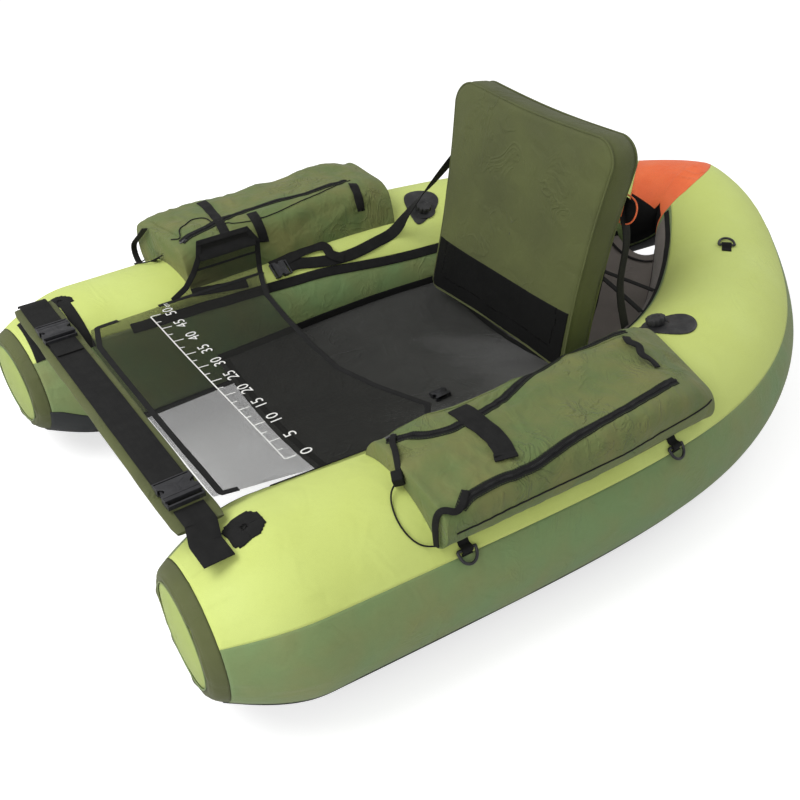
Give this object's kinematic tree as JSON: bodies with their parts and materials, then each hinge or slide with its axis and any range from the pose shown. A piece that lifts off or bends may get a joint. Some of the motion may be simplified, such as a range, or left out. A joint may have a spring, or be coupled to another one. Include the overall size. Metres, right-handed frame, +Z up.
{
  "type": "float tube",
  "caption": "U-shaped inflatable belly boat with mesh seat, hinged inflatable backrest, side bags, spreader bar and lap apron.",
  "frame": {"origin": "on the floor under the middle of the hull's plan, halfway between the two pontoons", "axes": "+X towards the seated user's left pontoon, +Y towards the closed stern, +Z up. The user faces -Y."},
  "size_m": [1.1272, 1.518, 0.5828],
  "materials": {
    "lime_cloth": "coated woven polyester, matt",
    "olive_cloth": "coated woven polyester, matt",
    "orange_cloth": "coated woven polyester, matt",
    "bag_cloth": "woven polyester, soft",
    "sole_cloth": "heavy coated cloth, matt",
    "bladder": "soft film, satin",
    "mesh": "knitted mesh",
    "webbing": "ribbed webbing",
    "elastic": "round elastic cord in a woven sheath",
    "foam": "stiff closed-cell strip",
    "plastic": "moulded, fine grain",
    "valve_rubber": "soft moulded, satin",
    "zip_metal": "dark coated metal"
  },
  "bodies": {
    "hull": {"air_bladder_left": "bladder", "air_bladder_right": "bladder", "apron_flap": "mesh", "bag_loop_left": "elastic", "bag_loop_right": "elastic", "brace_buckle_right_plug": "plastic", "brace_strap_left": "webbing", "brace_strap_right": "webbing", "cargo_floor": "mesh", "cargo_strap_high": "webbing", "cargo_strap_low": "webbing", "loose_socket_left": "plastic", "lower_cover_left": "olive_cloth", "lower_cover_right": "olive_cloth", "lower_cover_stern": "olive_cloth", "ring_tab_left_front": "webbing", "ring_tab_left_rear": "webbing", "ring_tab_right_front": "webbing", "ring_tab_right_rear": "webbing", "ring_tab_stern": "webbing", "seat_sling": "mesh", "side_bag_left": "bag_cloth", "side_bag_right": "bag_cloth", "sole_left": "sole_cloth", "sole_right": "sole_cloth", "stern_panel": "orange_cloth", "tip_collar_left": "olive_cloth", "tip_collar_right": "olive_cloth", "tip_disc_left": "orange_cloth", "tip_disc_right": "orange_cloth", "top_cover_left": "lime_cloth", "top_cover_right": "lime_cloth", "valve_base_left": "valve_rubber", "valve_base_right": "valve_rubber"},
    "backrest": {"backrest_cover": "olive_cloth", "backrest_bladder": "orange_cloth", "rear_pocket": "mesh"},
    "bar": {"bar_sleeve": "olive_cloth", "bar_batten": "foam", "bar_webbing": "webbing", "bar_buckle_left_socket": "plastic", "bar_buckle_right_socket": "plastic", "apron": "mesh", "anchor_webbing_right": "webbing"},
    "bar_plug_left": {"bar_buckle_left_plug": "plastic", "anchor_tab_left": "webbing"},
    "bar_plug_right": {"bar_buckle_right_plug": "plastic"},
    "brace_socket": {"brace_buckle_right_socket": "plastic"},
    "valve_ring_left": {"valve_retainer_left": "valve_rubber"},
    "valve_ring_right": {"valve_retainer_right": "valve_rubber"},
    "valve_lid_left": {"valve_cap_left": "plastic"},
    "valve_lid_right": {"valve_cap_right": "plastic"},
    "ring_left_front": {"d_ring_left_front": "plastic"},
    "ring_left_rear": {"d_ring_left_rear": "plastic"},
    "ring_right_front": {"d_ring_right_front": "plastic"},
    "ring_right_rear": {"d_ring_right_rear": "plastic"},
    "ring_stern": {"d_ring_stern": "plastic"},
    "slider_left_inner": {"zip_slider_left_inner": "zip_metal"},
    "slider_left_outer": {"zip_slider_left_outer": "zip_metal"},
    "slider_right_inner": {"zip_slider_right_inner": "zip_metal"}
  },
  "joints": [
    {"name": "backrest_fold", "type": "hinge", "parent": "hull", "child": "backrest", "pos_m": [0, 0.096, 0.15], "axis": [1, 0, 0], "range_deg": [0, 78], "deforming": ["brace_strap_left", "brace_strap_right"]},
    {"name": "bar_lift", "type": "hinge", "parent": "hull", "child": "bar", "pos_m": [-0.398, -0.683, 0.2753], "axis": [0, -1, 0], "range_deg": [0, 110]},
    {"name": "left_plug_slide", "type": "slide", "parent": "bar", "child": "bar_plug_left", "axis": [1, 0, 0], "range_m": [0, 0.03]},
    {"name": "right_plug_slide", "type": "slide", "parent": "bar", "child": "bar_plug_right", "axis": [-1, 0, 0], "range_m": [0, 0.03]},
    {"name": "brace_socket_slide", "type": "slide", "parent": "hull", "child": "brace_socket", "axis": [0.0527, -0.9986, 0.0021], "range_m": [0, 0.03]},
    {"name": "valve_left_rise", "type": "slide", "parent": "hull", "child": "valve_ring_left", "axis": [-0.3032, -0.1015, 0.9475], "range_m": [0, 0.0046]},
    {"name": "valve_left_turn", "type": "hinge", "parent": "valve_ring_left", "child": "valve_lid_left", "pos_m": [0.3126, 0.2159, 0.2646], "axis": [-0.3032, -0.1015, 0.9475], "range_deg": [0, 540]},
    {"name": "valve_right_rise", "type": "slide", "parent": "hull", "child": "valve_ring_right", "axis": [0.3134, -0.0573, 0.9479], "range_m": [0, 0.0046]},
    {"name": "valve_right_turn", "type": "hinge", "parent": "valve_ring_right", "child": "valve_lid_right", "pos_m": [-0.3233, 0.1595, 0.2634], "axis": [0.3134, -0.0573, 0.9479], "range_deg": [0, 540]},
    {"name": "ring_left_front_swing", "type": "hinge", "parent": "hull", "child": "ring_left_front", "pos_m": [0.5209, -0.3812, 0.2222], "axis": [-0.0531, -0.9986, 0.0035], "range_deg": [0, 115]},
    {"name": "ring_left_rear_swing", "type": "hinge", "parent": "hull", "child": "ring_left_rear", "pos_m": [0.5333, 0.0288, 0.2211], "axis": [0.0233, -0.9997, -0.0046], "range_deg": [0, 130]},
    {"name": "ring_right_front_swing", "type": "hinge", "parent": "hull", "child": "ring_right_front", "pos_m": [-0.5209, -0.3812, 0.2222], "axis": [-0.0531, 0.9986, -0.0035], "range_deg": [0, 130]},
    {"name": "ring_right_rear_swing", "type": "hinge", "parent": "hull", "child": "ring_right_rear", "pos_m": [-0.5333, 0.0286, 0.2211], "axis": [0.0252, 0.9997, 0.0065], "range_deg": [0, 130]},
    {"name": "ring_stern_swing", "type": "hinge", "parent": "hull", "child": "ring_stern", "pos_m": [0.2279, 0.4957, 0.3051], "axis": [0.7096, 0.7007, 0.0739], "range_deg": [0, 160]},
    {"name": "slider_left_inner_run", "type": "slide", "parent": "hull", "child": "slider_left_inner", "axis": [0.0509, 0.9723, 0.2282], "range_m": [0, 0.03]},
    {"name": "slider_left_outer_run", "type": "slide", "parent": "hull", "child": "slider_left_outer", "axis": [0.0856, 0.9725, 0.2168], "range_m": [0, 0.03]},
    {"name": "slider_right_inner_run", "type": "slide", "parent": "hull", "child": "slider_right_inner", "axis": [-0.0527, 0.9338, 0.3539], "range_m": [0, 0.03]}
  ],
  "couplings": [
    {"joint": "valve_left_rise", "follows": "valve_left_turn", "m_per_rad": 0.00047746},
    {"joint": "valve_right_rise", "follows": "valve_right_turn", "m_per_rad": 0.00047746}
  ]
}
